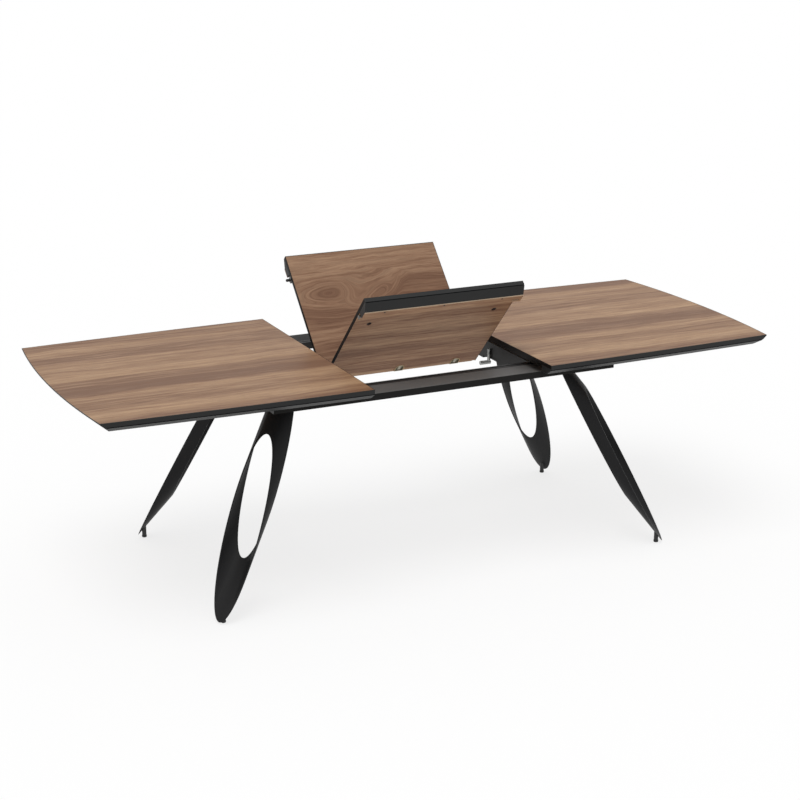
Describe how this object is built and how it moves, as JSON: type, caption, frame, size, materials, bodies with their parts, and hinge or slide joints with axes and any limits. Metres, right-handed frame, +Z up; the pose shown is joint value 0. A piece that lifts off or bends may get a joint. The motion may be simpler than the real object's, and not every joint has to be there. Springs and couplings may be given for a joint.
{
  "type": "extending table",
  "caption": "Rectangular table with two sliding half tops, a folding middle leaf, bowed edges, dark bevelled mouldings and splayed ring-shaped legs",
  "frame": {"origin": "on the floor, below the middle of the table", "axes": "+X along the table to the right, +Y to the rear, +Z up; the leaf's hinge line runs along X"},
  "size_m": [2.5638, 1.004, 1.0281],
  "materials": {
    "veneer": "matte walnut veneer",
    "moulding_lacquer": "matte anthracite lacquer on fibreboard",
    "edge_banding": "black-brown edge band",
    "leg_steel": "matte anthracite powder coat",
    "rail_steel": "matte dark grey powder coat",
    "black_steel": "satin black",
    "black_plastic": "matte black",
    "zinc": "zinc plated"
  },
  "bodies": {
    "frame": {"front_rail": "rail_steel", "rear_rail": "rail_steel", "rail_end_caps": "black_plastic", "front_guide_track": "black_plastic", "rear_guide_track": "black_plastic", "left_cross_beam": "rail_steel", "right_cross_beam": "rail_steel", "left_end_beam": "rail_steel", "right_end_beam": "rail_steel", "beam_bolts": "zinc", "beam_screws": "zinc", "left_arm_pivot": "zinc", "right_arm_pivot": "zinc", "leaf_stop_stems": "zinc", "leaf_stop_pegs": "zinc", "front_left_leg": "leg_steel", "front_right_leg": "leg_steel", "rear_left_leg": "leg_steel", "rear_right_leg": "leg_steel", "leg_plates": "leg_steel", "leg_bolts": "zinc", "glide_studs": "black_steel", "glide_shoes": "black_plastic"},
    "left_top": {"left_top_board": "veneer", "left_front_moulding": "moulding_lacquer", "left_rear_moulding": "moulding_lacquer", "left_end_moulding": "moulding_lacquer", "left_inner_edge": "edge_banding", "left_front_slide_bar": "black_steel", "left_rear_slide_bar": "black_steel", "left_top_socket": "zinc", "left_top_screws": "zinc"},
    "right_top": {"right_top_board": "veneer", "right_front_moulding": "moulding_lacquer", "right_rear_moulding": "moulding_lacquer", "right_end_moulding": "moulding_lacquer", "right_inner_edge": "edge_banding", "right_front_slide_bar": "black_steel", "right_rear_slide_bar": "black_steel", "right_top_screws": "zinc"},
    "swing_arms": {"hinge_shaft": "zinc", "left_swing_arm": "black_steel", "right_swing_arm": "black_steel"},
    "front_leaf": {"front_leaf_board": "veneer", "front_leaf_moulding": "moulding_lacquer", "front_leaf_strip": "veneer", "front_leaf_edging": "edge_banding", "front_hinge_cups": "zinc", "front_leaf_inserts": "black_plastic", "front_leaf_screws": "black_steel", "front_leaf_bracket": "zinc"},
    "rear_leaf": {"rear_leaf_board": "veneer", "rear_leaf_moulding": "moulding_lacquer", "rear_leaf_strip": "veneer", "rear_leaf_edging": "edge_banding", "rear_hinge_cups": "zinc", "rear_leaf_inserts": "black_plastic", "rear_leaf_screws": "black_steel", "rear_leaf_bracket": "zinc", "rear_leaf_pin": "black_steel"}
  },
  "joints": [
    {"name": "left_top_slide", "type": "slide", "parent": "frame", "child": "left_top", "axis": [1, 0, 0], "range_m": [0, 0.03]},
    {"name": "right_top_slide", "type": "slide", "parent": "frame", "child": "right_top", "axis": [-1, 0, 0], "range_m": [0, 0.03]},
    {"name": "leaf_swing", "type": "hinge", "parent": "frame", "child": "swing_arms", "pos_m": [0, 0.2, 0.712], "axis": [1, 0, 0], "range_deg": [-26.99, 18.85]},
    {"name": "front_leaf_fold", "type": "hinge", "parent": "swing_arms", "child": "front_leaf", "pos_m": [0, 0, 0.664], "axis": [1, 0, 0], "range_deg": [-53, 73.5]},
    {"name": "rear_leaf_fold", "type": "hinge", "parent": "swing_arms", "child": "rear_leaf", "pos_m": [0, 0, 0.664], "axis": [1, 0, 0], "range_deg": [-19.55, 14.1]}
  ],
  "couplings": [
    {"joint": "front_leaf_fold", "follows": "leaf_swing", "ratio": -2.7228},
    {"joint": "rear_leaf_fold", "follows": "leaf_swing", "ratio": 0.72277}
  ]
}
